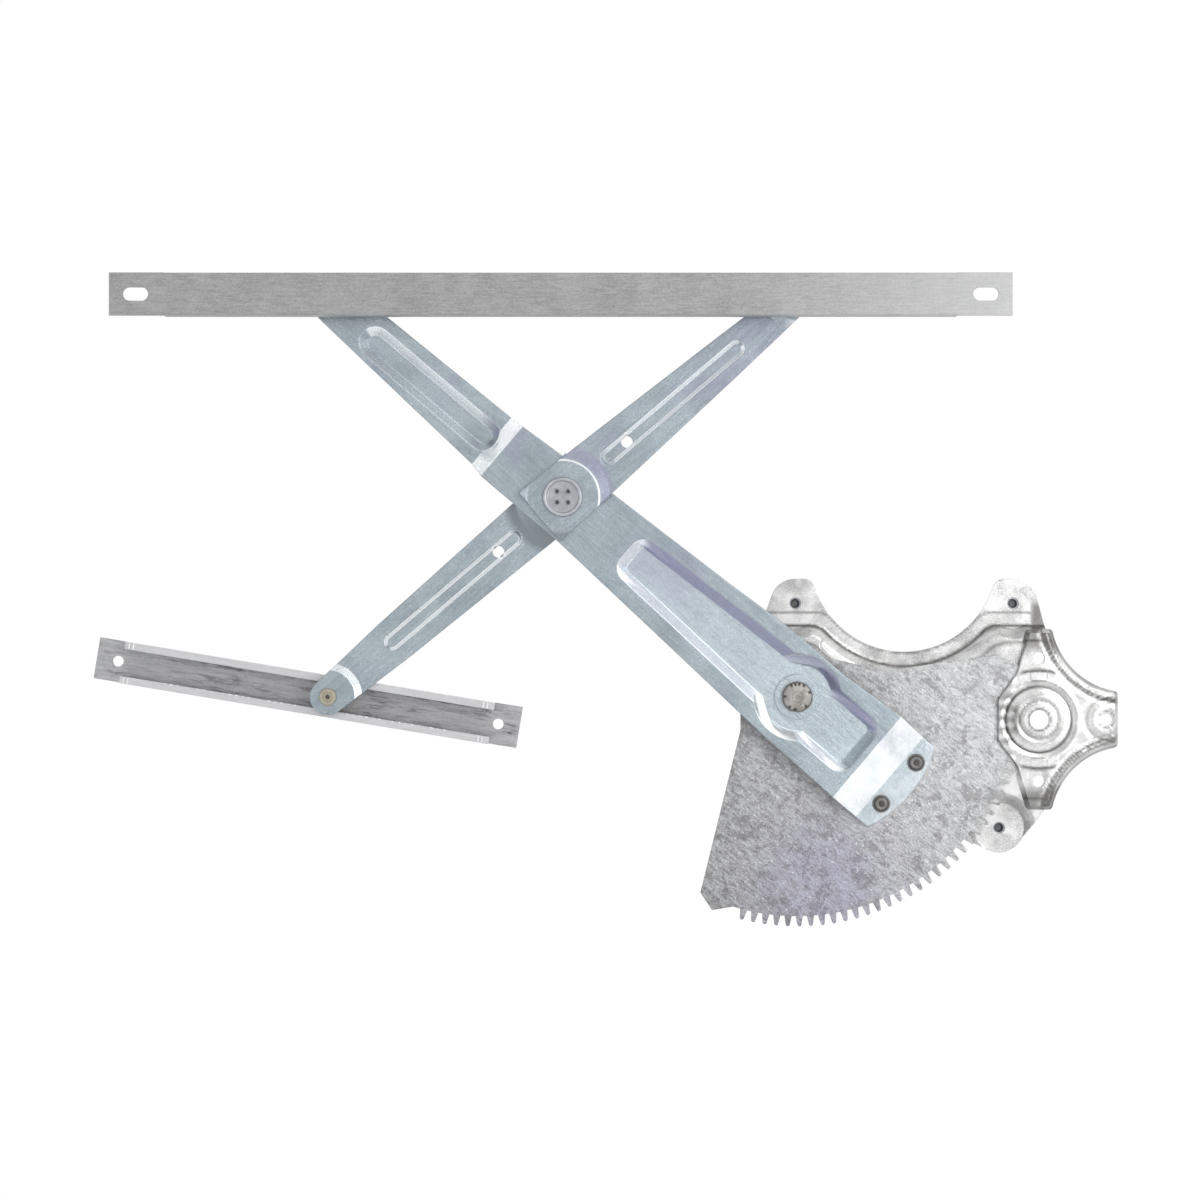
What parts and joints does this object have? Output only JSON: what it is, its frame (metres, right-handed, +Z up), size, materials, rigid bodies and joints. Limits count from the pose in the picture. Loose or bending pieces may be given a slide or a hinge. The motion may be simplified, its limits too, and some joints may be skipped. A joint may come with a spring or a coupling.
{
  "type": "window regulator",
  "caption": "Cross-arm car window regulator: a toothed sector lifts pressed scissor arms whose rollers carry a glass rail.",
  "frame": {"origin": "midway between the two upper panel bolts, on the door's inner panel plane", "axes": "+X along the car to the right as seen from the glass side, +Y inwards through the panel, +Z up"},
  "size_m": [0.5679, 0.047, 0.3593],
  "materials": {
    "blue_zinc": "bright blue zinc plating, semi-gloss, with a fine mottled grain",
    "bright_zinc": "bright galvanised sheet",
    "gear_zinc": "mottled grey-lilac galvanised plate with light scratches",
    "rail_zinc": "matte warm-grey galvanised sheet with fine grain",
    "guide_zinc": "streaky galvanised sheet with grease marks",
    "dark_rivet": "dark phosphated steel",
    "pin_steel": "turned steel with a warm yellowish plating",
    "nut_steel": "zinc-plated steel",
    "bush_plastic": "natural acetal",
    "roller_plastic": "natural acetal, greased"
  },
  "bodies": {
    "base": {"base_plate": "bright_zinc", "panel_weld_nuts": "nut_steel", "pinion_cover": "bright_zinc", "pivot_bush": "bush_plastic", "pivot_washer": "nut_steel", "pivot_pin": "pin_steel"},
    "lift_arm_body": {"sector_gear": "gear_zinc", "lift_arm": "blue_zinc", "gear_rivets": "dark_rivet", "lift_roller_pin": "pin_steel", "lift_roller_washer": "nut_steel"},
    "lift_roller_body": {"lift_roller": "roller_plastic"},
    "equaliser": {"equaliser_front": "blue_zinc", "equaliser_rear": "blue_zinc", "equaliser_hub": "nut_steel", "upper_roller_pin": "pin_steel", "upper_roller_washer": "nut_steel", "lower_roller_pin": "pin_steel", "lower_roller_washer": "nut_steel"},
    "upper_roller_body": {"upper_roller": "roller_plastic"},
    "lower_roller_body": {"lower_roller": "roller_plastic"},
    "glass_rail_body": {"glass_rail": "rail_zinc"},
    "guide_rail_body": {"guide_rail": "guide_zinc"}
  },
  "joints": [
    {"name": "lift_turn", "type": "hinge", "parent": "base", "child": "lift_arm_body", "pos_m": [-0.06, -0.014, -0.0515], "axis": [0, -1, 0], "range_deg": [0, 86]},
    {"name": "equaliser_turn", "type": "hinge", "parent": "lift_arm_body", "child": "equaliser", "pos_m": [-0.18946, -0.02, 0.05868], "axis": [0, -1, 0], "range_deg": [-172, 0]},
    {"name": "lift_roller_spin", "type": "hinge", "parent": "lift_arm_body", "child": "lift_roller_body", "pos_m": [-0.31892, -0.036, 0.16886], "axis": [0, -1, 0], "continuous": true},
    {"name": "upper_roller_turn", "type": "hinge", "parent": "equaliser", "child": "upper_roller_body", "pos_m": [-0.06, -0.036, 0.16886], "axis": [0, -1, 0], "range_deg": [0, 86]},
    {"name": "lower_roller_turn", "type": "hinge", "parent": "equaliser", "child": "lower_roller_body", "pos_m": [-0.31892, -0.006, -0.0515], "axis": [0, -1, 0], "range_deg": [0, 86]},
    {"name": "glass_rail_slide", "type": "slide", "parent": "upper_roller_body", "child": "glass_rail_body", "axis": [1, 0, 0], "range_m": [-0.02, 0.02]},
    {"name": "guide_rail_slide", "type": "slide", "parent": "lower_roller_body", "child": "guide_rail_body", "axis": [0.9866, 0, -0.1633], "range_m": [-0.03, 0.085]}
  ],
  "couplings": [
    {"joint": "equaliser_turn", "follows": "lift_turn", "ratio": -2},
    {"joint": "upper_roller_turn", "follows": "lift_turn", "ratio": 1},
    {"joint": "lower_roller_turn", "follows": "lift_turn", "ratio": 1}
  ]
}
